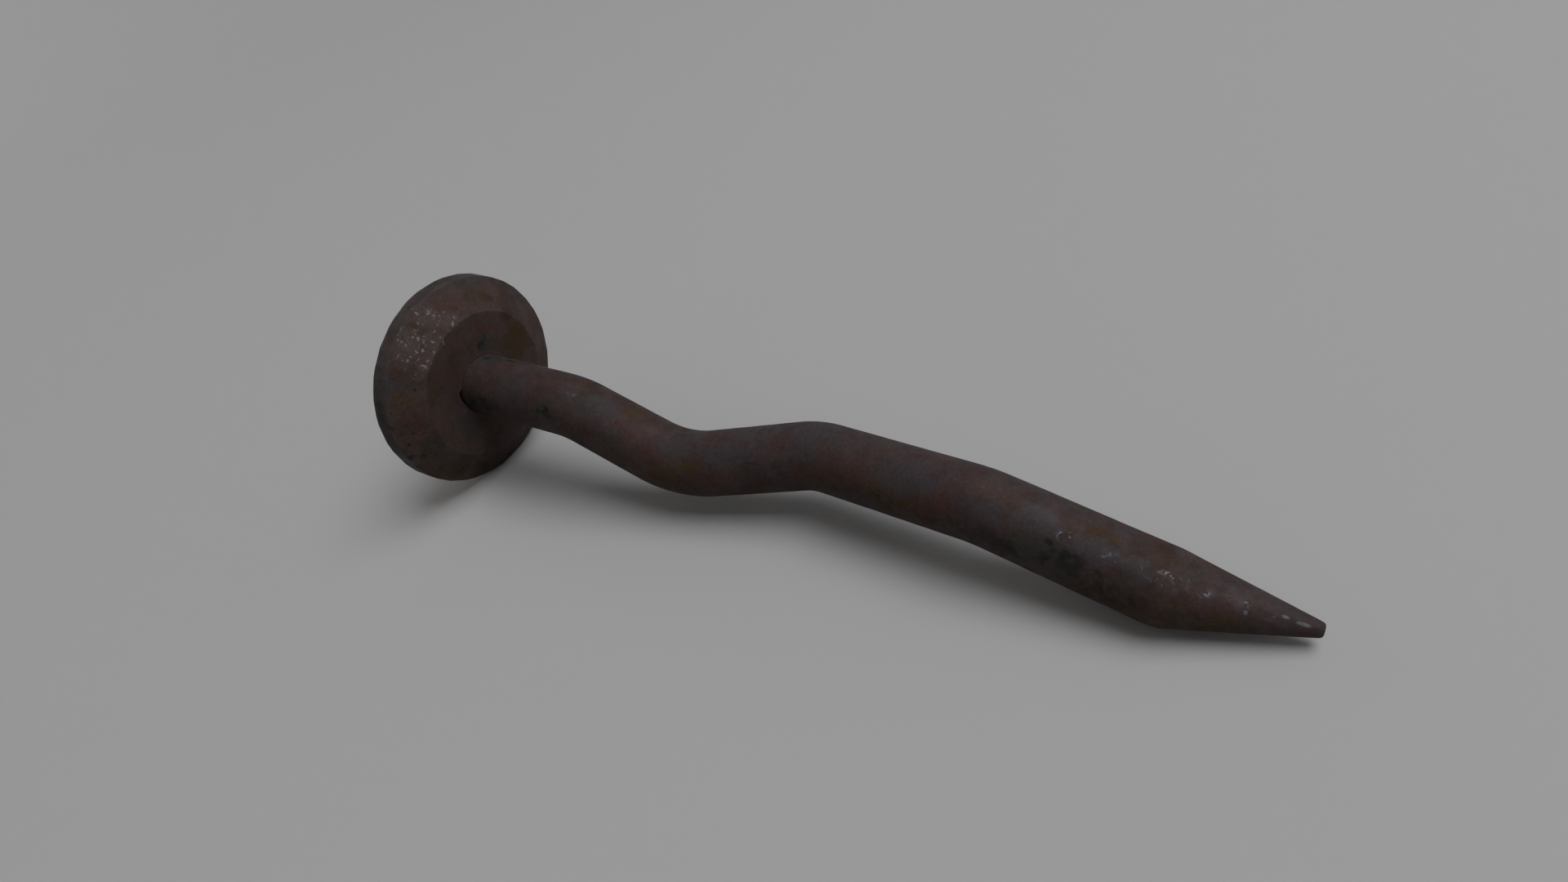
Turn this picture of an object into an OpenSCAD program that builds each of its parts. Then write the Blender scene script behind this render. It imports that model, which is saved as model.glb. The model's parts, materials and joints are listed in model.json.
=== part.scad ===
// Round-shank rail spike, rusted and bent, lying on its side as it was dropped.
// The head is a bevelled disc with a hole. The round bar passes through the hole
// and its end is hammered out flush with the struck face, which locks the disc on.
// Millimetres. +X runs from the head to the point, +Z is up, and the ground is z = 0.
// The spike touches the ground on the rim of its head and where the bar meets the point.

/* [Bar] */
// Diameter of the round bar
bar_d = 16; // [12:1:20]
// Length of the cone at the point
point_l = 27; // [16:1:40]
// Diameter of the blunt end of the point
tip_d = 2.8; // [1:0.1:4]

/* [Bends] */
// Straight lengths of bar, from under the head to the last bend
straight_l = [28.5, 19, 23.5, 36, 32]; // [5:0.5:60]
// Angle of each bend
bend_a = [20, 33, 22, 15, 9]; // [1:1:40]
// Radius of each bend, at the middle of the bar
bend_r = [24, 30, 20, 28, 16]; // [12:1:60]
// Turn of each bend's plane about the bar, counted from the bend before it
bend_roll = [0, 154, 126, 89, 110]; // [-180:1:180]

/* [Head] */
// Diameter of the head over its rim
head_d = 56; // [44:1:80]
// Diameter of the flat seat under the head
seat_d = 39; // [28:1:42]
// Depth of the bevel between the seat and the rim
bevel_h = 5; // [2:0.5:8]
// Height of the plain rim
rim_h = 5; // [4:0.5:10]

/* [Riveted end] */
// Diameter of the hammered-out end of the bar, in the struck face
rivet_d = 22; // [21:0.5:30]
// Depth of the countersink that it fills
rivet_h = 3; // [1:0.5:3.5]
// Gap around the bar where it leaves the seat
root_gap = 0.3; // [0.1:0.05:0.5]
// Depth of that gap
root_gap_h = 1.5; // [0.5:0.1:2]

/* [Hidden] */
$fn = 96;
bar_r = bar_d / 2;
head_r = head_d / 2;
tip_r = tip_d / 2;
head_h = bevel_h + rim_h;
// A bend draws the bar thinner by this much, and the straights run over its ends by lap
bend_thinning = 0.02;
lap = 0.4;

// 4 x 4 matrices that follow the bar. The spike's own frame has its origin at the
// middle of the seat and +Z along the bar, and each bend turns the bar towards +X.
function moved(v) = [[1, 0, 0, v[0]], [0, 1, 0, v[1]], [0, 0, 1, v[2]], [0, 0, 0, 1]];
function rolled(a) = [[cos(a), -sin(a), 0, 0], [sin(a), cos(a), 0, 0], [0, 0, 1, 0], [0, 0, 0, 1]];
function tilted(a) = [[cos(a), 0, sin(a), 0], [0, 1, 0, 0], [-sin(a), 0, cos(a), 0], [0, 0, 0, 1]];
function bent(r, a) = moved([r, 0, 0]) * tilted(a) * moved([-r, 0, 0]);
function frame_after(i) =
    i < 0
        ? moved([0, 0, 0])
        : frame_after(i - 1) * moved([0, 0, straight_l[i]]) * rolled(bend_roll[i]) * bent(bend_r[i], bend_a[i]);
function column(m, k) = [m[0][k], m[1][k], m[2][k]];

// Where the bar meets the point, the point's direction and the middle of its blunt end,
// in the spike's own frame
point_frame = frame_after(len(bend_a) - 1);
shoulder = column(point_frame, 3);
point_axis = column(point_frame, 2);
tip = column(point_frame * moved([0, 0, point_l]), 3);

// Slope at which the rim and the shoulder both reach the ground, within 0.1 mm
rim_to_shoulder = [head_r - shoulder[0], bevel_h + shoulder[2]];
lay_slope = atan2(rim_to_shoulder[0], rim_to_shoulder[1]) - asin(bar_r / norm(rim_to_shoulder));
seat_z = head_r * cos(lay_slope) - bevel_h * sin(lay_slope);

// The ends of the spike along X, from the middle of the seat
down_slope = [-sin(lay_slope), 0, cos(lay_slope)];
head_end_x = -head_h * cos(lay_slope) - head_r * sin(lay_slope);
tip_end_x = tip * down_slope + tip_r * sqrt(1 - pow(point_axis * down_slope, 2));

// From the spike's own frame to the ground, with the origin under the middle of its length
module laid_down() {
    translate([-(head_end_x + tip_end_x) / 2, 0, seat_z])
        rotate([0, 90 + lay_slope, 0])
            children();
}

// Bevelled disc: flat seat, bevel, plain rim and flat struck face, with its hole
module head_disc() {
    hole_r = bar_r + root_gap;
    color("#5b4640")
        laid_down()
            rotate_extrude()
                polygon([
                    [hole_r, 0],
                    [seat_d / 2, 0],
                    [head_r, -bevel_h],
                    [head_r, -head_h],
                    [rivet_d / 2, -head_h],
                    [bar_r, -head_h + rivet_h],
                    [bar_r, -root_gap_h],
                    [hole_r, -root_gap_h],
                ]);
}

// One bend of the bar, from the origin along +Z and over towards +X
module bend(r, a) {
    translate([r, 0, 0])
        rotate([90, 0, 180])
            rotate_extrude(angle = a)
                translate([r, 0])
                    circle(r = bar_r - bend_thinning);
}

// Places its children at the far end of such a bend
module past_bend(r, a) {
    translate([r, 0, 0])
        rotate([0, a, 0])
            translate([-r, 0, 0])
                children();
}

// The bar from the end of bend i - 1 down to the point
module bar_from(i) {
    if (i == len(bend_a)) {
        point();
    } else {
        translate([0, 0, -lap])
            cylinder(h = straight_l[i] + 2 * lap, r = bar_r);
        translate([0, 0, straight_l[i]])
            rotate([0, 0, bend_roll[i]]) {
                bend(bend_r[i], bend_a[i]);
                past_bend(bend_r[i], bend_a[i])
                    bar_from(i + 1);
            }
    }
}

// Blunt cone at the end of the bar
module point() {
    rotate_extrude()
        polygon([[0, -lap], [bar_r, -lap], [bar_r, 0], [tip_r, point_l], [0, point_l]]);
}

// End of the bar inside the head, hammered out into the countersink
module riveted_end() {
    rotate_extrude()
        polygon([
            [0, -lap],
            [bar_r, -lap],
            [bar_r, -head_h + rivet_h],
            [rivet_d / 2, -head_h],
            [0, -head_h],
        ]);
}

// Bar, point and riveted end in one piece
module shank() {
    color("#4a3a35")
        laid_down() {
            riveted_end();
            bar_from(0);
        }
}

head_disc();
shank();
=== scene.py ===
import json
import math

import bpy
import numpy as np
from mathutils import Matrix, Vector, kdtree, noise


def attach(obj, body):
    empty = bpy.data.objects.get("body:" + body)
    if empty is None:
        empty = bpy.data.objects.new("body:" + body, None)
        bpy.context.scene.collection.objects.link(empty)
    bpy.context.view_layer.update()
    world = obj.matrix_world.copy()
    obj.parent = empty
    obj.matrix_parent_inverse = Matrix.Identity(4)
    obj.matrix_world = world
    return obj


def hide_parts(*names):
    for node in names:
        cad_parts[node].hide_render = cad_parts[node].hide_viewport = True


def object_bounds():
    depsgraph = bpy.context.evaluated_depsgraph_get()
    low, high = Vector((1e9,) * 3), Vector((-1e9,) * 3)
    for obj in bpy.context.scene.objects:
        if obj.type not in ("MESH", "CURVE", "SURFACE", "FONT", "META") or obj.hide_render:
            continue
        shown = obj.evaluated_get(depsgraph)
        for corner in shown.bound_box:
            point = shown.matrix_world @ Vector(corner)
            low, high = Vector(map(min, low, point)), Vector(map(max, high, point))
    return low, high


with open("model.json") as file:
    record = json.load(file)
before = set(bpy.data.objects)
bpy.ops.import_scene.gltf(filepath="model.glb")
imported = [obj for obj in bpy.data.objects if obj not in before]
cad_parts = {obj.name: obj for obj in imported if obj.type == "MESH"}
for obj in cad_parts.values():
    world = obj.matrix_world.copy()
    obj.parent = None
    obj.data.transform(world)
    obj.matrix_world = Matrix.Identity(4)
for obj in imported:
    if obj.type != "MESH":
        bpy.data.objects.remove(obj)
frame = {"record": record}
CAD_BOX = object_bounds()
MM = 0.001

# Sizes of the spike, as the CAD part has them
BAR_R = 8 * MM
POINT_L = 27 * MM
TIP_R = 1.4 * MM
HEAD_R = 28 * MM
SEAT_R = 19.5 * MM
BEVEL_H = 5 * MM
HEAD_H = 10 * MM
RIVET_R = 11 * MM
RIVET_H = 3 * MM
ROOT_GAP = 0.3 * MM
ROOT_GAP_H = 1.5 * MM
# Each bend: straight length before it, its angle, its radius and its roll about the bar
BENDS = [
    (28.5 * MM, 20, 24 * MM, 0),
    (19 * MM, 33, 30 * MM, 154),
    (23.5 * MM, 22, 20 * MM, 126),
    (36 * MM, 15, 28 * MM, 89),
    (32 * MM, 9, 16 * MM, 110),
]
BAR_L = sum(straight + radius * math.radians(angle) for straight, angle, radius, _ in BENDS)
SPIKE_L = BAR_L + POINT_L

# How finely the two pieces are modelled
BAR_SIDES = 128
BAR_STEP = 0.4 * MM
HEAD_SIDES = 480
HEAD_STEP = 0.42 * MM
CORNER_POINTS = 6
CLEARANCE = 0.02 * MM
SEAM = 0.1 * MM


# ---------------------------------------------------------------- the bar's line


def spike_frame():
    """The spike's own axes and origin in the row frame: +Z down the bar, origin mid-seat."""
    mounts = {m["name"]: m for m in frame["record"]["mounts"]}
    struck = mounts["struck_face"]
    down = -Vector(struck["axis"]).normalized()
    side = Vector((0, 1, 0))
    axes = Matrix((side.cross(down), side, down)).transposed()
    return axes, Vector(struck["pos_m"]) + down * HEAD_H


def bar_stretches():
    """The bar's straights and bends in order, as (start, place, axes, bend direction, radius)."""
    axes, place = spike_frame()
    start, roll, found = 0.0, 0.0, []
    for straight, angle, radius, turn in BENDS:
        found.append((start, place, axes, None, 0.0))
        start += straight
        place = place + axes.col[2] * straight
        roll += math.radians(turn)
        over = axes @ Vector((math.cos(roll), math.sin(roll), 0))
        found.append((start, place, axes, over, radius))
        length = radius * math.radians(angle)
        place, axes = on_stretch(found[-1], length)
        start += length
    found.append((start, place, axes, None, 0.0))
    return found


def on_stretch(stretch, distance):
    """Place and axes at a distance along one straight or bend. The axes never roll."""
    _, place, axes, over, radius = stretch
    down = axes.col[2]
    if over is None:
        return place + down * distance, axes
    a = distance / radius
    moved = place + over * radius * (1 - math.cos(a)) + down * radius * math.sin(a)
    return moved, Matrix.Rotation(a, 3, down.cross(over)) @ axes


def bar_line(stations):
    """Centres (n, 3) and axes (n, 3, 3) of the bar at distances below the seat."""
    stretches = bar_stretches()
    starts = [s[0] for s in stretches]
    centres, axes = [], []
    for s in stations:
        k = max(0, int(np.searchsorted(starts, s, side="right")) - 1)
        place, turned = on_stretch(stretches[k], s - starts[k])
        centres.append(place)
        axes.append(turned)
    return np.array(centres), np.array([np.array(a) for a in axes])


def head_line(stations):
    """The same along the head's own straight axis."""
    axes, place = spike_frame()
    centres = [place + axes.col[2] * s for s in stations]
    return np.array(centres), np.array([np.array(axes)] * len(stations))


# ---------------------------------------------------------------- outlines and skins


def rounded(corner, before, after, cut):
    """Points round a corner that starts and ends at a distance cut from it."""
    if cut == 0:
        return [corner]
    a = corner + before / np.linalg.norm(before) * cut
    b = corner + after / np.linalg.norm(after) * cut
    steps = np.linspace(0, 1, CORNER_POINTS)
    return [(1 - t) ** 2 * a + 2 * t * (1 - t) * corner + t * t * b for t in steps]


def outline(corners, closed):
    """Points of an outline with rounded corners, from (along, radius, rounding, step) corners.
    step is the spacing of the points on the side that follows the corner."""
    points = [np.array(corner[:2], float) for corner in corners]
    count = len(corners)
    found = []
    for i, here in enumerate(points):
        after = (i + 1) % count
        is_end = not closed and i in (0, count - 1)
        cut = 0 if is_end else corners[i][2]
        found += rounded(here, points[i - 1] - here, points[after] - here, cut)
        if not closed and i == count - 1:
            break
        next_cut = 0 if not closed and after == count - 1 else corners[after][2]
        side = points[after] - here
        begin = found[-1]
        end = points[after] - side / np.linalg.norm(side) * next_cut
        pieces = max(1, round(np.linalg.norm(end - begin) / corners[i][3]))
        found += [begin + (end - begin) * k / pieces for k in range(1, pieces)]
    return np.array(found)


def outward(points, closed):
    """Unit normals of an outline that runs with the metal on its right."""
    if closed:
        run = np.roll(points, -1, axis=0) - np.roll(points, 1, axis=0)
    else:
        run = np.gradient(points, axis=0)
    normal = np.stack([-run[:, 1], run[:, 0]], axis=1)
    return normal / np.linalg.norm(normal, axis=1, keepdims=True)


class Skin:
    """A surface swept round a line: base points, normals and the places on the straight bar."""

    def __init__(self, corners, line, sides, closed):
        self.closed = closed
        points = outline(corners, closed)
        normals = outward(points, closed)
        self.poles = None
        if not closed:
            self.poles = points[0], points[-1]
            points, normals = points[1:-1], normals[1:-1]
        along, radius = points[:, 0], points[:, 1]
        centres, axes = line(along)
        turn = np.arange(sides) * 2 * math.pi / sides
        ray = np.cos(turn)[None, :, None] * axes[:, None, :, 0]
        ray = ray + np.sin(turn)[None, :, None] * axes[:, None, :, 1]
        self.base = centres[:, None] + radius[:, None, None] * ray
        self.normal = normals[:, None, 1:2] * ray + normals[:, None, 0:1] * axes[:, None, :, 2]
        flat = np.broadcast_to(radius[:, None], (len(radius), sides))
        self.radius = flat
        self.along = np.broadcast_to(along[:, None], flat.shape)
        self.turn = np.broadcast_to(turn[None, :], flat.shape)
        self.ray = ray
        self.place = np.stack([flat * np.cos(turn), flat * np.sin(turn), self.along], axis=2)
        self.line = line

    def down(self):
        """Direction of the bar at the seat."""
        return self.line([0.0])[1][0, :, 2]

    def mesh(self, name, lift, layers):
        """The mesh with its surface lifted along the normals, and layers as its attributes."""
        rings, sides = self.radius.shape
        points = (self.base + lift[..., None] * self.normal).reshape(-1, 3)
        faces = quads(rings, sides, self.closed)
        place = self.place.reshape(-1, 3)
        values = {key: layer.reshape(-1) for key, layer in layers.items()}
        if self.poles is not None:
            ends = self.line([self.poles[0][0], self.poles[1][0]])[0]
            faces = faces + fans(rings, sides)
            points = np.vstack([points, ends])
            tips = [[0, 0, self.poles[0][0]], [0, 0, self.poles[1][0]]]
            place = np.vstack([place, tips])
            for key, value in values.items():
                values[key] = np.append(value, [value[:sides].mean(), value[-sides:].mean()])
        mesh = bpy.data.meshes.new(name)
        mesh.from_pydata(points.tolist(), [], faces)
        places = mesh.attributes.new("place", "FLOAT_VECTOR", "POINT")
        places.data.foreach_set("vector", place.ravel())
        for key, value in values.items():
            layer = mesh.attributes.new(key, "FLOAT", "POINT")
            layer.data.foreach_set("value", value)
        mesh.shade_smooth()
        mesh.update()
        return mesh


def quads(rings, sides, closed):
    """Faces between neighbouring rings."""
    rows = rings if closed else rings - 1
    i, j = np.meshgrid(np.arange(rows), np.arange(sides), indexing="ij")
    up, next_j = (i + 1) % rings, (j + 1) % sides
    corners = [i * sides + j, i * sides + next_j, up * sides + next_j, up * sides + j]
    return np.stack(corners, axis=2).reshape(-1, 4).tolist()


def fans(rings, sides):
    """Faces that close the first and last rings on their poles."""
    first, last = rings * sides, rings * sides + 1
    row = (rings - 1) * sides
    start = [[first, (j + 1) % sides, j] for j in range(sides)]
    return start + [[last, row + j, row + (j + 1) % sides] for j in range(sides)]


# ---------------------------------------------------------------- relief


def smooth(x):
    """0 below 0, 1 above 1 and a smooth rise between them."""
    x = np.clip(x, 0, 1)
    return x * x * (3 - 2 * x)


def grain(place, size, seed, octaves=3):
    """Fractal noise from about -1 to 1 at each place; size is that of its largest bumps."""
    shift = Vector((3.7, 5.1, 7.3)) * seed
    flat = (place / size).reshape(-1, 3).tolist()
    values = [noise.fractal(Vector(p) + shift, 1.0, 2.0, octaves) for p in flat]
    return np.array(values).reshape(place.shape[:-1])


def spots(place, listed, seed, size=4 * MM, ragged=0.35):
    """How far each place lies in the listed patches, 0 to 1. Each patch is (radius, degrees
    about the bar, distance below the seat, half width, half length, strength), in mm. Their
    edges are torn by ragged times noise of that size."""
    field = np.zeros(place.shape[:-1])
    rough = grain(place, size, seed) * ragged
    for radius, degrees, along, across, length, strength in listed:
        a = math.radians(degrees)
        centre = np.array([radius * math.cos(a), radius * math.sin(a), along]) * MM
        off = (place - centre) / (np.array([across, across, length]) * MM)
        reach = np.linalg.norm(off, axis=-1)
        field = np.maximum(field, strength * smooth((1.15 - reach + rough) / 0.6))
    return field


# Added to the chances of craters, so that every place has some
NEVER_ZERO = 1e-6


def craters(skin, chance, count, sizes, depth, seed):
    """Round pits at seeded places, more where chance is high: (depth in metres, 0 to 1 mask)."""
    rng = np.random.default_rng(seed)
    flat = skin.base.reshape(-1, 3)
    weight = (chance * skin.radius).ravel()
    chosen = rng.choice(len(flat), size=count, replace=False, p=weight / weight.sum())
    radii = sizes[0] * (sizes[1] / sizes[0]) ** rng.random(count)
    deep = depth * (0.5 + 0.5 * rng.random(count)) * radii / sizes[1]
    tree = kdtree.KDTree(len(flat))
    for i, p in enumerate(flat.tolist()):
        tree.insert(p, i)
    tree.balance()
    sunk = np.zeros(len(flat))
    for k in range(count):
        for _, i, d in tree.find_range(flat[chosen[k]].tolist(), radii[k]):
            sunk[i] = max(sunk[i], deep[k] * (1 - (d / radii[k]) ** 2) ** 1.5)
    mask = np.clip(sunk / depth, 0, 1)
    return sunk.reshape(chance.shape), mask.reshape(chance.shape)


# The stretches of the seam round the riveted end that hammering has closed: their usual length,
# how far from the seam and how deep its lips move, and the share of the depth that is filled
SEAM_GRAIN = 9 * MM
SEAM_REACH = 0.6 * MM
SEAM_DEPTH = 0.5 * MM
SEAM_CLOSED = 0.85


def hammered_seam(skin, inward):
    """Lifts the lips of the seam round the riveted end where hammering has closed it, and moves
    them inward by that much."""
    circle = np.stack([np.cos(skin.turn), np.sin(skin.turn), 0 * skin.turn], axis=2)
    closed = smooth((grain(circle * RIVET_R, SEAM_GRAIN, 30, 3) + 0.25) / 0.5)
    near = np.abs(skin.radius - RIVET_R) < SEAM_REACH
    lip = near & (skin.along < -HEAD_H + SEAM_DEPTH)
    rise = np.where(lip, skin.along + HEAD_H, 0) * closed * SEAM_CLOSED
    shift = np.where(lip, inward, 0) * closed
    return -rise[..., None] * skin.down() - shift[..., None] * skin.ray


# ---------------------------------------------------------------- the bar


def bar_corners():
    """Outline of the riveted end, the bar and the point."""
    tight = BAR_R - CLEARANCE
    return [
        (-HEAD_H, 0, 0, 0.45 * MM),
        (-HEAD_H, RIVET_R - SEAM / 2, 0.3 * MM, 0.5 * MM),
        (-HEAD_H + RIVET_H, tight, 0.1 * MM, BAR_STEP),
        (BAR_L, tight, 1.2 * MM, BAR_STEP),
        (SPIKE_L, TIP_R, 0.8 * MM, 0.3 * MM),
        (SPIKE_L, 0, 0, 0),
    ]


# Patches on the bar, listed one by one. spots() says what the numbers mean
BAR_RUST = [
    (8, 228, 114, 5, 10, 0.7),
    (8, 215, 96, 3, 5, 0.25),
    (8, 236, 137, 4, 7, 0.6),
    (8, 250, 78, 4, 8, 0.6),
    (8, 228, 28, 4, 7, 0.5),
    (7, 232, 190, 3, 8, 0.6),
    (8, 200, 50, 5, 8, 0.7),
    (8, 240, 58, 5, 10, 0.7),
    (8, 150, 170, 4, 9, 0.4),
    (6, 195, 192, 3, 9, 0.6),
    (8, 190, 148, 4, 6, 0.5),
    (8, 30, 90, 7, 16, 0.8),
    (8, 320, 30, 6, 12, 0.7),
    (8, 70, 140, 6, 14, 0.7),
]
BAR_OCHRE_AND_SHADE = [
    (8, 238, 67, 4, 8, 0.8),
    (8, 170, 49, 3, 5, 0.6),
    (8, 164, 33, 3, 5, 0.5),
    (8, 185, 168.5, 2.6, 4, 0.75),
    (8, 162, 121, 3, 5, 0.35),
    (8, 205, 96, 3, 4, 0.3),
    (8, 245, 186, 4, 8, 0.6),
    # These five along the bar's lower side are painted warm shade
    (8, 262, 66, 4, 10, 0.7),
    (8, 258, 104, 4, 8, 0.6),
    (8, 255, 126, 4, 9, 0.7),
    (7.5, 262, 190, 4, 12, 0.7),
    (8, 266, 172, 4, 9, 0.5),
    (0, 0, 209.4, 1.8, 1.6, 0.7),
    (8, 20, 130, 6, 12, 0.7),
    (8, 330, 60, 5, 9, 0.6),
    (8, 60, 20, 5, 9, 0.6),
]
BAR_SLATE = [
    (8, 208, 18, 4, 6, 0.6),
    (8, 192, 42, 3.5, 6, 0.7),
    (8, 200, 66, 4, 7, 0.6),
    (8, 216, 80, 3.5, 7, 0.9),
    (8, 172, 88, 4, 7, 0.7),
    (8, 176, 104, 3.5, 7, 0.9),
    (8, 166, 68, 3.5, 6, 0.8),
    (8, 212, 102, 3.5, 6, 0.7),
    (8, 215, 150, 3, 5, 0.6),
    (8, 210, 129, 4.5, 9, 0.9),
    (8, 200, 157, 3.2, 5, 1.0),
    (8, 207, 168, 3.2, 6, 1.0),
    (8, 210, 178, 2.6, 4, 0.8),
    (8, 155, 119, 3.5, 7, 0.6),
    (8, 155, 170, 3.5, 9, 0.6),
    (8, 60, 60, 6, 12, 0.8),
    (8, 320, 110, 6, 12, 0.7),
    (8, 100, 165, 5, 9, 0.7),
]
BAR_MOSS = [
    (8, 168, 1, 3, 3, 1.0),
    (8, 160, 6, 2, 4, 1.0),
    (8, 156, 12, 1.6, 4, 0.8),
    (8, 262, 5, 4, 6, 1.0),
    (8, 245, 29, 4, 4, 1.0),
    (8, 205, 38, 3, 4, 0.6),
    (8, 235, 52, 4, 7, 0.5),
    (8, 240, 160, 4, 9, 0.9),
    (7.5, 248, 186, 3, 6, 0.4),
    (0, 0, 209.2, 2.2, 1.8, 1.0),
    (8, 40, 20, 6, 10, 0.7),
    (8, 60, 110, 6, 12, 0.7),
    (8, 340, 170, 5, 9, 0.7),
]
BAR_SOOT_AND_SHADE = [
    (8, 166, 2, 1.0, 1.4, 1.0),
    (8, 158, 5, 0.8, 2.4, 1.0),
    (8, 156, 10, 0.7, 2.2, 1.0),
    (8, 164, 7, 0.6, 1.6, 0.8),
    (8, 248, 29, 2.0, 2.0, 0.9),
    # Painted shade under the bar's root
    (8, 272, 6, 3, 6, 0.6),
    (8, 234, 87, 0.5, 1.8, 0.6),
    (8, 222, 84, 0.7, 4, 0.35),
    (8, 222, 160.5, 0.8, 1.4, 0.9),
    (8, 230, 164.5, 1.1, 1.6, 0.9),
    (8, 242, 165, 2.8, 6, 0.5),
    (8, 262, 150, 3, 8, 0.5),
    # These five along the underside are painted shade that darkens the bar's lower side
    (8, 278, 60, 4, 12, 0.25),
    (8, 276, 118, 4, 12, 0.35),
    (8, 276, 140, 4, 12, 0.3),
    (8, 274, 172, 4, 10, 0.45),
    (7, 274, 187, 4, 8, 0.25),
    (8, 20, 40, 5, 8, 0.8),
    (8, 350, 150, 4, 7, 0.8),
]
BAR_WORN = [
    (2.3, 212, 205.2, 0.35, 3.4, 1.0),
    (2.9, 205, 202.3, 0.35, 0.8, 0.9),
]
# Speckled places on the bar, with pale dust and pale specks painted as glints
BAR_SPECKS = [
    (8, 204, 181, 2.4, 5, 0.4),
    (5, 209, 193, 1.8, 6, 0.3),
    (8, 190, 145, 3, 8, 0.3),
]
# Places of painted glints: white curls of painted highlight, with bluish smudges of painted sheen
# round them
BAR_PAINTED_GLINTS = [
    (8, 207, 163, 1.8, 3, 1.0),
    (8, 207, 172, 2.0, 3, 0.5),
    (8, 208, 181, 2.8, 4, 1.0),
    (6.6, 205, 188, 2.0, 3, 1.0),
    (5, 212, 195, 1.8, 4, 0.7),
    (3.8, 213, 200, 1.6, 2, 1.0),
    (8, 196, 34, 1.6, 1.6, 0.6),
    (8, 214, 45, 1.2, 1.6, 0.6),
]


# Depths of the bar's waves, scale, pits and hammer dents, and how many and how wide these are
BAR_WAVES = 0.035 * MM
BAR_SCALE = 0.022 * MM
BAR_PIT_COUNT = 150
BAR_PIT_SIZES = (0.35 * MM, 0.8 * MM)
BAR_PITS = 0.08 * MM
BAR_DENT_COUNT = 14
BAR_DENT_SIZES = (3 * MM, 6 * MM)
BAR_DENTS = 0.45 * MM
# The bright ring that handling leaves: how far before the tip, and how far it fades either way
TIP_RING = 1.1 * MM
TIP_RING_W = 0.5 * MM


def bar_piece():
    """The bar with its riveted end and point, in one piece, with its relief and patches."""
    skin = Skin(bar_corners(), bar_line, BAR_SIDES, closed=False)
    place = skin.place
    skin.base = skin.base + hammered_seam(skin, 0)
    bare = smooth((skin.along - 0.2 * MM) / (1.0 * MM))
    struck = smooth((-HEAD_H + 0.3 * MM - skin.along) / (0.3 * MM))
    shown = np.maximum(bare, struck)
    waves = BAR_WAVES * (grain(place, 14 * MM, 1, 2) - 0.9)
    scale = BAR_SCALE * (grain(place, 3.5 * MM, 2, 4) - 0.4)
    chance = shown * smooth(grain(place, 18 * MM, 5, 2) + 0.35) + NEVER_ZERO
    pits, pitted = craters(skin, chance, BAR_PIT_COUNT, BAR_PIT_SIZES, BAR_PITS, 3)
    dents, _ = craters(skin, struck + NEVER_ZERO, BAR_DENT_COUNT, BAR_DENT_SIZES, BAR_DENTS, 4)
    lift = np.minimum(waves + scale - pits, 0) * shown - dents * struck
    tip_ring = smooth(1 - np.abs(skin.along - SPIKE_L + TIP_RING) / TIP_RING_W)
    layers = {
        "rust": spots(place, BAR_RUST, 10),
        "ochre_and_shade": spots(place, BAR_OCHRE_AND_SHADE, 11),
        "slate": spots(place, BAR_SLATE, 12),
        "moss": spots(place, BAR_MOSS, 17),
        "soot_and_shade": spots(place, BAR_SOOT_AND_SHADE, 13, 2 * MM, 0.8),
        "worn": np.maximum(spots(place, BAR_WORN, 14), 0.35 * struck),
        "speck": spots(place, BAR_SPECKS, 15),
        "painted_glint": spots(place, BAR_PAINTED_GLINTS, 16),
        "pit": pitted * shown,
        "edge": 0.5 * tip_ring,
    }
    mesh = skin.mesh("spike_shank", lift, layers)
    return finish_piece("spike_shank", mesh, "shank")


# ---------------------------------------------------------------- the head


def head_corners():
    """Outline of the head, from its struck edge round the rim, bevel, seat and hole."""
    hole = BAR_R + CLEARANCE
    return [
        (-HEAD_H, HEAD_R, 0.4 * MM, HEAD_STEP),
        (-BEVEL_H, HEAD_R, 0.2 * MM, HEAD_STEP),
        (0, SEAT_R, 0.12 * MM, HEAD_STEP),
        (0, BAR_R + ROOT_GAP, 0.12 * MM, 0.5 * MM),
        (-ROOT_GAP_H, BAR_R + ROOT_GAP, 0, 0.2 * MM),
        (-ROOT_GAP_H, hole, 0, 1.5 * MM),
        (-HEAD_H + RIVET_H, hole, 0.1 * MM, 0.8 * MM),
        (-HEAD_H, RIVET_R + SEAM / 2, 0.25 * MM, 0.45 * MM),
    ]


def forged_flats(turn, count, seed):
    """Share of the radius that the head's irregular flats take away, for each direction."""
    rng = np.random.default_rng(seed)
    edges = (np.arange(count) + 0.55 * (rng.random(count) - 0.5)) * 2 * math.pi / count
    edges = np.append(edges, edges[0] + 2 * math.pi)
    angle = (turn - edges[0]) % (2 * math.pi) + edges[0]
    k = np.clip(np.searchsorted(edges, angle, side="right") - 1, 0, count - 1)
    half = (edges[k + 1] - edges[k]) / 2
    return 1 - np.cos(half) / np.cos(angle - edges[k] - half)


# The jag where the gap at the bar's root is still open: where it starts, is full and ends, in
# degrees about the bar, how much wider it is there, and how far across the seat that fades out
JAG_START = 241
JAG_FULL = 249
JAG_END = 300
JAG_W = 0.75 * MM
JAG_REACH = 3.5 * MM
# Depth and width that the gap keeps where rust has packed it
PACKED_DEPTH = 0.1 * MM
PACKED_W = 0.04 * MM


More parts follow.
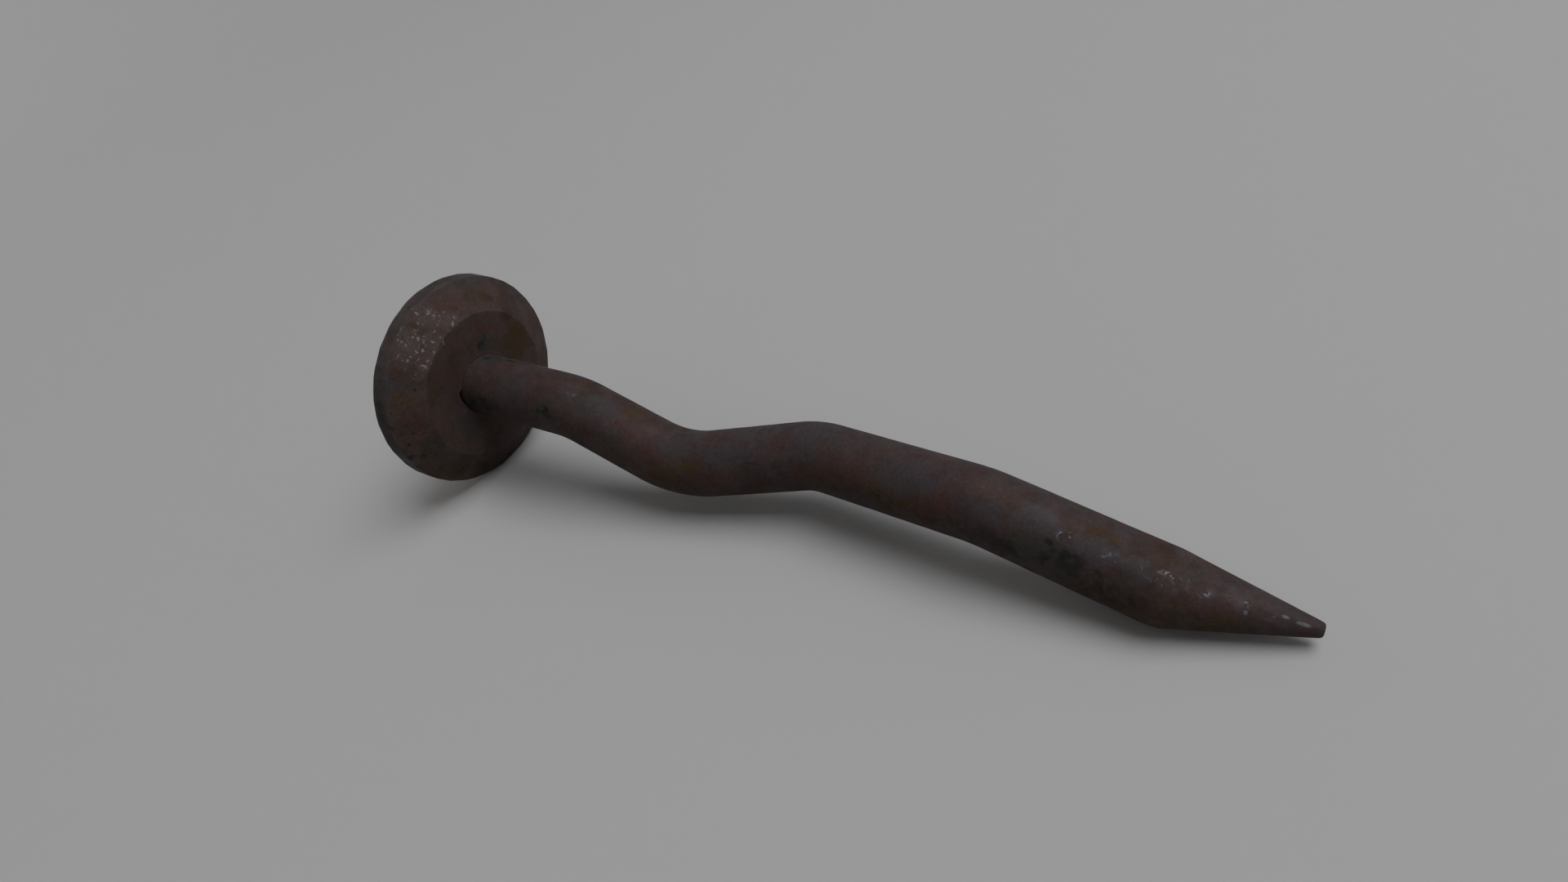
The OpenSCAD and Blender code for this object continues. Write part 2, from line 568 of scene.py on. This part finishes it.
def root_shift(skin):
    """Packs the gap at the bar's root with rust all round but for one jag, which it widens."""
    degrees = np.degrees(skin.turn)
    opened = smooth((degrees - JAG_START) / (JAG_FULL - JAG_START))
    opened = opened * smooth((JAG_END - degrees) / (JAG_END - JAG_FULL))
    gap_wall = BAR_R + ROOT_GAP
    above_floor = skin.along > -1.01 * ROOT_GAP_H
    outer = above_floor & (skin.radius > BAR_R + 0.5 * ROOT_GAP)
    near = smooth((gap_wall + JAG_REACH - skin.radius) / JAG_REACH)
    widen = (JAG_W * opened - (ROOT_GAP - PACKED_W) * (1 - opened)) * near
    shift = np.where(outer, widen, 0)[..., None] * skin.ray
    in_gap = above_floor & (skin.along < -PACKED_DEPTH) & (skin.radius < gap_wall + 0.1 * MM)
    raised = np.where(in_gap, -skin.along - PACKED_DEPTH, 0) * (1 - opened)
    return shift + raised[..., None] * skin.down()


# Patches on the head, listed in the same way
HEAD_RUST = [
    (24, 262, -2.5, 6, 3, 0.8),
    (24, 176, -2.5, 4, 3, 0.7),
    (22, 212, -2, 3, 3, 0.6),
    (13, 232, 0, 7, 3, 0.35),
    (13, 150, 0, 6, 3, 0.6),
    (23, 128, -2, 4, 3, 0.6),
    (27, 90, -4, 3, 3, 0.6),
    (12, -30, 0, 5, 3, 0.5),
    (16, 30, -10, 8, 3, 0.7),
    (18, 200, -10, 8, 3, 0.7),
]
HEAD_OCHRE = [
    (14.7, 104, 0, 6, 3, 1.0),
    (24.5, 153, -2.5, 5, 3, 0.5),
    (25.5, 200, -3, 1.6, 3, 0.9),
    (23, 70, -2, 4, 3, 0.6),
    (24, -48, -2.5, 5, 3, 0.6),
    (22, -78, -2, 4, 3, 0.7),
    (24.5, 243, -3, 3.5, 3, 0.7),
    (16, 243, 0, 3, 3, 0.6),
    (16, 292, 0, 5, 3, 0.6),
    (14, 15, 0, 5, 3, 0.4),
    (20, 300, -10, 8, 3, 0.7),
    (6, 90, -10, 5, 3, 0.5),
]
HEAD_SLATE = [
    (28, 150, -7, 12, 4, 0.8),
    (28, 235, -7, 10, 4, 0.9),
    (10.9, 151, 0, 2.6, 3, 0.9),
    (14, -60, 0, 5, 3, 0.6),
    (24.5, 216, -3, 2, 3, 0.4),
    (25, -128, -3, 3, 3, 0.5),
    (23, 118, -2, 4, 3, 0.6),
    (28, 40, -7, 12, 4, 0.7),
    (20, 100, -10, 8, 3, 0.7),
]
HEAD_MOSS = [
    (11.2, 156, 0, 3.2, 3, 1.0),
    (25, 196, -3, 2.4, 3, 0.8),
    (23.5, 214, -2.5, 1.8, 3, 0.5),
    (21, 283, -1, 4, 3, 0.9),
    (25, 262, -3, 2.6, 3, 0.6),
    (12, 300, 0, 4, 3, 0.7),
    (27, 128, -4, 2.5, 3, 0.6),
    (27.5, 252, -7, 5, 3, 0.7),
    (24, 20, -3, 6, 3, 0.5),
    (14, 350, -10, 6, 3, 0.7),
    (22, 150, -10, 7, 3, 0.7),
]
HEAD_SOOT = [
    (22.1, -123, -1.6, 0.45, 3, 1.0),
    (27.3, -110, -4.6, 0.45, 3, 1.0),
    (25.7, -88, -3.6, 0.6, 3, 1.0),
    (24, -94, -2.7, 0.35, 3, 1.0),
    (26.9, -80, -4.4, 1.2, 3, 1.0),
    (25.4, -76, -3.8, 0.8, 3, 0.8),
    (18.8, -133, 0, 0.5, 3, 0.8),
    (10.4, 158, 0, 1.6, 3, 0.6),
    (12.6, 152, 0, 1.2, 3, 0.5),
    (24, -20, -2.7, 8, 3, 0.35),
    (28, 170, -7.6, 16, 2.6, 0.4),
    (28, 215, -7.6, 14, 2.6, 0.35),
    (28, 262, -7.6, 14, 2.6, 0.5),
]
# Places of painted glints on the head, in the same way
HEAD_PAINTED_GLINTS = [(24.5, -152, -3, 4, 4, 0.6), (22, -135, -2, 3, 4, 0.5)]
# Speckled places on the bevel: more pits, deeper scale, pale dust, and pale specks painted as
# glints
HEAD_SPECKS = [
    (25.8, 192, -3, 3.8, 4, 1.0),
    (25.8, 208, -3, 3.8, 4, 1.0),
    (25.8, 221, -3, 2.8, 4, 0.9),
    (21.6, 183, -1, 3.0, 4, 0.8),
    (21.6, 201, -1, 3.4, 4, 0.9),
    (21.6, 215, -1, 3.0, 4, 0.9),
]


# The flats that forging left round the head: how many, and the share of their depth that shows
HEAD_FLATS = 40
FLAT_SHARE = 0.8
# Depths of the head's waves, scale, pits and hammer dents, and how many and how wide these are.
# The scale is deeper where speckled
HEAD_WAVES = 0.06 * MM
HEAD_SCALE = 0.02 * MM
SPECKLED_SCALE = 0.03 * MM
HEAD_PIT_COUNT = 130
HEAD_PIT_SIZES = (0.35 * MM, 0.7 * MM)
HEAD_PITS = 0.10 * MM
HEAD_DENT_COUNT = 48
HEAD_DENT_SIZES = (3 * MM, 7 * MM)
HEAD_DENTS = 0.5 * MM


def rim_mask(skin, struck):
    """1 on the plain rim, which is a little bluer than the rest."""
    rim = smooth((-BEVEL_H + 0.1 * MM - skin.along) / (0.3 * MM)) * (1 - struck)
    return np.where(skin.radius > HEAD_R - 2 * MM, rim, 0)


def head_piece():
    """The bevelled disc with its hole, relief and patches."""
    skin = Skin(head_corners(), head_line, HEAD_SIDES, closed=True)
    place = skin.place
    outer = smooth((skin.radius - RIVET_R - 1 * MM) / (7 * MM))
    shown = smooth((skin.radius - BAR_R - ROOT_GAP) / (0.8 * MM))
    inside = (skin.radius < RIVET_R) & (skin.along < -ROOT_GAP_H / 2) & (skin.along > -HEAD_H)
    shown = np.where(inside, 0, shown)
    flats = FLAT_SHARE * forged_flats(skin.turn, HEAD_FLATS, 5) * outer
    skin.base = skin.base - (flats * skin.radius)[..., None] * skin.ray
    skin.base = skin.base + root_shift(skin) + hammered_seam(skin, 0.9 * SEAM)
    speckled = spots(place, HEAD_SPECKS, 21)
    waves = HEAD_WAVES * (grain(place, 10 * MM, 6, 2) - 0.9)
    scale = (HEAD_SCALE + SPECKLED_SCALE * speckled) * (grain(place, 2.2 * MM, 7, 3) - 0.5)
    chance = (0.2 * smooth(grain(place, 15 * MM, 10, 2) + 0.3) + speckled) * shown + NEVER_ZERO
    pits, pitted = craters(skin, chance, HEAD_PIT_COUNT, HEAD_PIT_SIZES, HEAD_PITS, 8)
    struck = smooth((-HEAD_H + 0.4 * MM - skin.along) / (0.4 * MM))
    dents, _ = craters(skin, struck + NEVER_ZERO, HEAD_DENT_COUNT, HEAD_DENT_SIZES, HEAD_DENTS, 9)
    lift = np.minimum(waves + scale - pits, 0) * shown - dents * struck * shown
    layers = {
        "rust": spots(place, HEAD_RUST, 20),
        "ochre_and_shade": spots(place, HEAD_OCHRE, 22),
        "slate": np.maximum(spots(place, HEAD_SLATE, 23), 0.7 * rim_mask(skin, struck)),
        "moss": spots(place, HEAD_MOSS, 26),
        "soot_and_shade": spots(place, HEAD_SOOT, 24, 2 * MM, 0.5),
        "worn": 0.3 * struck,
        "speck": speckled,
        "painted_glint": spots(place, HEAD_PAINTED_GLINTS, 25),
        "pit": pitted * shown,
        "edge": edge_mask(skin),
    }
    mesh = skin.mesh("spike_head", lift, layers)
    return finish_piece("spike_head", mesh, "head_disc")


def edge_mask(skin):
    """1 along the head's outer edges, where handling keeps the scale thin."""
    field = np.zeros(skin.radius.shape)
    for along, radius in ((-HEAD_H, HEAD_R), (-BEVEL_H, HEAD_R), (0, SEAT_R)):
        off = np.hypot(skin.along - along, skin.radius - radius)
        field = np.maximum(field, smooth(1 - off / (0.9 * MM)))
    return field


def finish_piece(name, mesh, node):
    """Links the piece, sets it to ride on the root, and hides the CAD node it stands for."""
    piece = bpy.data.objects.new(name, mesh)
    bpy.context.scene.collection.objects.link(piece)
    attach(piece, "root")
    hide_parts(node)
    return piece


# ---------------------------------------------------------------- materials


def tone(red, green, blue):
    """A colour from its usual 0-255 values, as linear light."""
    linear = [((value / 255 + 0.055) / 1.055) ** 2.4 for value in (red, green, blue)]
    return (*linear, 1.0)


class Graph:
    """Short ways to add and join a material's nodes."""

    def __init__(self, material):
        material.use_nodes = True
        self.tree = material.node_tree
        self.tree.nodes.clear()
        self.place = self.attribute("place", "Vector")

    def add(self, kind, inputs=(), **settings):
        """A node with its inputs set, or linked where the value is another node's output."""
        node = self.tree.nodes.new(kind)
        for key, value in settings.items():
            setattr(node, key, value)
        for key, value in dict(inputs).items():
            if isinstance(value, bpy.types.NodeSocket):
                self.tree.links.new(value, node.inputs[key])
            else:
                node.inputs[key].default_value = value
        return node

    def attribute(self, name, output="Fac"):
        """One of the mesh's own layers."""
        return self.add("ShaderNodeAttribute", attribute_name=name).outputs[output]

    def noise(self, size, seed, detail=4, rough=0.55, warp=0.0, stretch=1.0):
        """Noise from 0 to 1; size is that of its largest spots, in metres."""
        place = self.place
        if stretch != 1:
            squeeze = {"Vector": place, "Scale": (1, 1, 1 / stretch)}
            place = self.add("ShaderNodeMapping", squeeze).outputs[0]
        inputs = {"Vector": place, "W": seed, "Scale": 1 / size, "Detail": detail}
        inputs |= {"Roughness": rough, "Distortion": warp}
        return self.add("ShaderNodeTexNoise", inputs, noise_dimensions="4D").outputs[0]

    def rise(self, value, low, high, top=1.0):
        """0 where value is below low, rising smoothly to top at high."""
        inputs = {"Value": value, "From Min": low, "From Max": high, "To Max": top}
        return self.add("ShaderNodeMapRange", inputs, interpolation_type="SMOOTHSTEP").outputs[0]

    def math(self, operation, a, b):
        """Two values joined by a math operation."""
        return self.add("ShaderNodeMath", {0: a, 1: b}, operation=operation).outputs[0]

    def mix(self, factor, a, b, blend="MIX"):
        """Colour b over colour a, by factor."""
        inputs = {0: factor, 6: a, 7: b}
        node = self.add("ShaderNodeMix", inputs, data_type="RGBA", blend_type=blend)
        return node.outputs[2]

    def ramp(self, value, stops):
        """Colours at stops along a value, blended between."""
        node = self.add("ShaderNodeValToRGB", {0: value})
        marks = node.color_ramp.elements
        while len(marks) < len(stops):
            marks.new(0.5)
        for mark, (position, colour) in zip(marks, stops):
            mark.position = position
            mark.color = colour
        return node.outputs[0]

    def bump(self, height, depth, under=None):
        """A relief of that depth in metres, on top of another."""
        inputs = {"Height": height, "Distance": depth, "Strength": 1.0}
        if under is not None:
            inputs["Normal"] = under
        return self.add("ShaderNodeBump", inputs).outputs[0]


# Colours of the plain scale
PLATE_BROWN = tone(46, 35, 31)
DARK_MOTTLE = tone(44, 33, 29)
PALE_MOTTLE = tone(76, 63, 59)
STREAK_GREY = tone(66, 59, 60)
# Colours of pits, pale dust, pale specks painted as glints, bluish smudges of painted sheen,
# white curls of painted highlight, and metal worn bare
PIT_BROWN = tone(32, 25, 22)
PALE_DUST = tone(88, 76, 73)
SPECK_GLINT_WHITE = tone(138, 129, 126)
SHEEN_BLUE = tone(90, 91, 98)
GLINT_WHITE = tone(118, 120, 126)
EDGE_BROWN = tone(84, 74, 70)
BARE_STEEL = tone(108, 106, 102)
# The finest grain multiplies the colour by a tone between these two
GRAIN_DARK = tone(196, 196, 196)
GRAIN_LIGHT = tone(255, 255, 255)
# Patch layers: attribute, colour, how much of it shows, and how much also grows anywhere
LAYERS = [
    ("rust", tone(73, 47, 40), 0.6, 0.65),
    # The ochre layer also carries the painted warm shade on the bar's lower side
    ("ochre_and_shade", tone(68, 53, 31), 0.75, 0.6),
    ("slate", tone(61, 59, 62), 0.6, 0.7),
    ("moss", tone(54, 56, 49), 0.65, 0.45),
    # The soot layer also carries the painted shade on the bar's underside
    ("soot_and_shade", tone(31, 32, 28), 0.8, 0.0),
]


def plain_scale(g, tones, broad, plates, mottle, streaks):
    """The scale's own colour: broad drifts between three tones, thin plates and mottling."""
    colour = g.ramp(broad, list(zip((0.36, 0.5, 0.62), tones)))
    colour = g.mix(g.math("MULTIPLY", plates, 0.22), colour, PLATE_BROWN)
    colour = g.mix(g.rise(mottle, 0.50, 0.68, 0.35), colour, DARK_MOTTLE)
    colour = g.mix(g.rise(mottle, 0.50, 0.34, 0.35), colour, PALE_MOTTLE)
    return g.mix(g.rise(streaks, 0.55, 0.68, 0.15), colour, STREAK_GREY)


def patched(g, seed, colour):
    """Lays the patch layers over a colour: (colour, where each layer shows)."""
    torn = g.noise(2.6 * MM, seed + 5, 5, 0.62, 0.5)
    ragged = g.math("MULTIPLY", g.math("SUBTRACT", torn, 0.5), 4.5)
    there = {}
    for k, (layer, shade, share, wild) in enumerate(LAYERS):
        listed = g.math("MULTIPLY", g.math("ADD", ragged, 1), g.attribute(layer))
        anywhere = g.rise(g.noise(8 * MM, seed + 10 + k, 6, 0.62, 0.5), 0.52, 0.70, wild)
        there[layer] = g.rise(g.math("MAXIMUM", listed, anywhere), 0.1, 1.0)
        colour = g.mix(g.math("MULTIPLY", there[layer], share), colour, shade)
    return colour, there


def pitted_colour(g, seed, colour, broad):
    """Pale dust where the head is speckled, and dark pits and pores."""
    colour = g.mix(g.rise(g.attribute("speck"), 0.1, 1.0, 0.4), colour, PALE_DUST)
    pores = g.rise(g.noise(0.9 * MM, seed + 8, 3, 0.6, 0.6), 0.36, 0.30)
    pores = g.math("MULTIPLY", pores, g.rise(broad, 0.45, 0.6, 0.5))
    sunk = g.math("MAXIMUM", g.rise(g.attribute("pit"), 0.1, 0.9), pores)
    return g.mix(g.math("MULTIPLY", sunk, 0.5), colour, PIT_BROWN)


def flecked(g, seed, colour):
    """Painted glints: pale specks of painted highlight, bluish smudges of painted sheen and white
    curls of painted highlight: (colour, where the bright flecks are).
    """
    # Pale specks painted as glints where the surface is speckled
    speck_glint = g.rise(g.noise(1.1 * MM, seed + 7, 3, 0.6, 0.4), 0.59, 0.625)
    speck_glint = g.math("MULTIPLY", speck_glint, g.rise(g.attribute("speck"), 0.2, 0.7))
    colour = g.mix(g.math("MULTIPLY", speck_glint, 0.85), colour, SPECK_GLINT_WHITE)
    near = g.rise(g.attribute("painted_glint"), 0.1, 0.9)
    # Bluish smudges of painted sheen near the listed glint places
    painted_sheen = g.rise(g.noise(4 * MM, seed + 9, 6, 0.65, 1.2), 0.46, 0.64)
    painted_sheen = g.math("MULTIPLY", near, painted_sheen)
    colour = g.mix(g.math("MULTIPLY", painted_sheen, 0.3), colour, SHEEN_BLUE)
    # White curls of painted highlight
    glint_curls = g.rise(g.noise(1.9 * MM, seed + 6, 5, 0.6, 1.8), 0.59, 0.64)
    glint_curls = g.math("MULTIPLY", near, glint_curls)
    colour = g.mix(g.math("MULTIPLY", glint_curls, 0.8), colour, GLINT_WHITE)
    return colour, g.math("MAXIMUM", speck_glint, g.math("MULTIPLY", glint_curls, 0.7))


def rusted_steel(name, seed, tones):
    """Old dark iron: mauve-brown scale in thin plates, mottled with rust, ochre and slate, with
    painted glints and painted shade.
    """
    material = bpy.data.materials.new(name)
    g = Graph(material)
    broad = g.noise(14 * MM, seed, 4, 0.6, 0.4)
    mottle = g.noise(4.5 * MM, seed + 1, 5, 0.56, 0.4)
    fine = g.noise(0.7 * MM, seed + 2, 4, 0.65)
    streaks = g.noise(2.2 * MM, seed + 3, 5, 0.6, 0.2, stretch=7)
    plates = g.rise(g.noise(7 * MM, seed + 4, 5, 0.58, 0.5), 0.46, 0.56)

    colour = plain_scale(g, tones, broad, plates, mottle, streaks)
    colour, there = patched(g, seed, colour)
    colour = pitted_colour(g, seed, colour, broad)
    colour, fleck = flecked(g, seed, colour)
    worn = g.math("MULTIPLY", g.attribute("worn"), g.rise(streaks, 0.30, 0.48))
    bare_edge = g.math("MULTIPLY", g.attribute("edge"), g.rise(mottle, 0.6, 0.4))
    colour = g.mix(g.math("MULTIPLY", bare_edge, 0.25), colour, EDGE_BROWN)
    colour = g.mix(worn, colour, BARE_STEEL)
    shade = g.mix(g.rise(fine, 0.28, 0.72), GRAIN_DARK, GRAIN_LIGHT)
    colour = g.mix(0.6, colour, shade, "MULTIPLY")

    bright = g.math("MAXIMUM", worn, fleck)
    rough = g.math("ADD", g.math("MULTIPLY", mottle, 0.3), 0.5)
    rough = g.math("SUBTRACT", rough, g.math("MULTIPLY", there["slate"], 0.08))
    rough = g.math("ADD", rough, g.math("MULTIPLY", there["ochre_and_shade"], 0.10))
    rough = g.math("SUBTRACT", rough, g.math("MULTIPLY", bright, 0.25))
    relief = g.bump(plates, 0.02 * MM)
    relief = g.bump(mottle, 0.08 * MM, relief)
    relief = g.bump(fleck, 0.05 * MM, relief)
    relief = g.bump(fine, 0.04 * MM, relief)
    inputs = {"Base Color": colour, "Roughness": rough, "Normal": relief}
    inputs |= {"Metallic": g.math("MULTIPLY", bright, 0.5), "Specular IOR Level": 0.2}
    shader = g.add("ShaderNodeBsdfPrincipled", inputs)
    g.add("ShaderNodeOutputMaterial", {"Surface": shader.outputs[0]})
    return material


def plain(name, colour, rough):
    """A matt studio surface."""
    material = bpy.data.materials.new(name)
    g = Graph(material)
    shader = g.add("ShaderNodeBsdfPrincipled", {"Base Color": colour, "Roughness": rough})
    g.add("ShaderNodeOutputMaterial", {"Surface": shader.outputs[0]})
    return material


# ---------------------------------------------------------------- studio

STUDIO_R = 1.6
STUDIO_BEND = 0.9
STUDIO_WALL = 1.2
STUDIO_SIDES = 96
STUDIO_FLAT_R = 0.4


def studio():
    """A pale floor that curves up into a round wall, so that no horizon shows."""
    arc = [math.radians(a) for a in range(0, 91, 6)]
    rows = [(STUDIO_FLAT_R, 0.0), (STUDIO_R - STUDIO_BEND, 0.0)]
    for a in arc[1:]:
        rows.append((STUDIO_R - STUDIO_BEND * (1 - math.sin(a)), STUDIO_BEND * (1 - math.cos(a))))
    rows.append((STUDIO_R, STUDIO_BEND + STUDIO_WALL))
    points = [(0.0, 0.0, 0.0)]
    for radius, height in rows:
        for k in range(STUDIO_SIDES):
            a = 2 * math.pi * k / STUDIO_SIDES
            points.append((radius * math.cos(a), radius * math.sin(a), height))
    faces = [(0, 1 + k, 1 + (k + 1) % STUDIO_SIDES) for k in range(STUDIO_SIDES)]
    for row in range(len(rows) - 1):
        for k in range(STUDIO_SIDES):
            here, there = 1 + row * STUDIO_SIDES, 1 + (row + 1) * STUDIO_SIDES
            after = (k + 1) % STUDIO_SIDES
            faces.append((here + k, there + k, there + after, here + after))
    mesh = bpy.data.meshes.new("studio_floor")
    mesh.from_pydata(points, [], faces)
    mesh.shade_smooth()
    mesh.materials.append(plain("studio_grey", tone(170, 169, 167), 0.9))
    floor = bpy.data.objects.new("studio_floor", mesh)
    bpy.context.scene.collection.objects.link(floor)


def softbox(name, direction, distance, size, power, colour):
    """A square soft light that looks at the middle of the spike."""
    light = bpy.data.lights.new(name, "AREA")
    light.shape = "SQUARE"
    light.size = size
    light.energy = power
    light.color = colour
    lamp = bpy.data.objects.new(name, light)
    lamp.visible_camera = False
    bpy.context.scene.collection.objects.link(lamp)
    toward = Vector(direction).normalized()
    lamp.location = middle() + toward * distance
    lamp.rotation_mode = "QUATERNION"
    lamp.rotation_quaternion = (-toward).to_track_quat("-Z", "Y")


def middle():
    """Middle of the CAD box."""
    return (CAD_BOX[0] + CAD_BOX[1]) / 2


def sky(strength, colour):
    """Even light from all round."""
    world = bpy.data.worlds.new("soft_sky")
    world.use_nodes = True
    background = world.node_tree.nodes["Background"]
    background.inputs["Color"].default_value = colour
    background.inputs["Strength"].default_value = strength
    bpy.context.scene.world = world


# ---------------------------------------------------------------- camera

VIEW_AZIMUTH = 43.41
VIEW_ELEVATION = 37.40
VIEW_ROLL = 18.95
VIEW_DISTANCE = 230.9 * MM
VIEW_HEIGHT = 45.0
AIM_OFF = Vector((0.37, -0.09, -0.52)) * MM
SENSOR = 36.0
ASPECT = 16 / 9


def camera():
    """Looks down on the head from the point's side, a little rolled."""
    azimuth, elevation, roll = map(math.radians, (VIEW_AZIMUTH, VIEW_ELEVATION, VIEW_ROLL))
    ahead = Vector(
        (
            -math.sin(azimuth) * math.cos(elevation),
            math.cos(azimuth) * math.cos(elevation),
            -math.sin(elevation),
        )
    )
    level = ahead.cross(Vector((0, 0, 1))).normalized()
    up = math.cos(roll) * level.cross(ahead) + math.sin(roll) * level
    data = bpy.data.cameras.new("camera")
    data.sensor_width = SENSOR
    data.lens = SENSOR / 2 / (math.tan(math.radians(VIEW_HEIGHT / 2)) * ASPECT)
    data.clip_start = 10 * MM
    data.clip_end = 20
    lens = bpy.data.objects.new("camera", data)
    bpy.context.scene.collection.objects.link(lens)
    turn = Matrix((ahead.cross(up), up, -ahead)).transposed().to_4x4()
    place = middle() + AIM_OFF - ahead * VIEW_DISTANCE
    lens.matrix_world = Matrix.Translation(place) @ turn
    bpy.context.scene.camera = lens


# ---------------------------------------------------------------- the scene

BAR_TONES = (tone(69, 53, 49), tone(68, 57, 57), tone(66, 49, 41))
HEAD_TONES = (tone(76, 60, 54), tone(74, 62, 58), tone(70, 55, 44))
SKY_COLOUR = (1.0, 0.93, 0.87, 1)
KEY_COLOUR = (0.95, 0.97, 1.03)
FILL_COLOUR = (1.0, 0.98, 0.95)

shank = bar_piece()
head = head_piece()
shank.data.materials.append(rusted_steel("rusted_bar", seed=2.0, tones=BAR_TONES))
head.data.materials.append(rusted_steel("rusted_head", seed=40.0, tones=HEAD_TONES))
studio()
camera()
sky(strength=0.12, colour=SKY_COLOUR)
key_from, fill_from = (0.46, 0.20, 0.865), (-0.93, 0.0, 0.37)
softbox("key_light", key_from, distance=2.2, size=1.8, power=52, colour=KEY_COLOUR)
softbox("fill_light", fill_from, distance=1.4, size=0.5, power=1.6, colour=FILL_COLOUR)
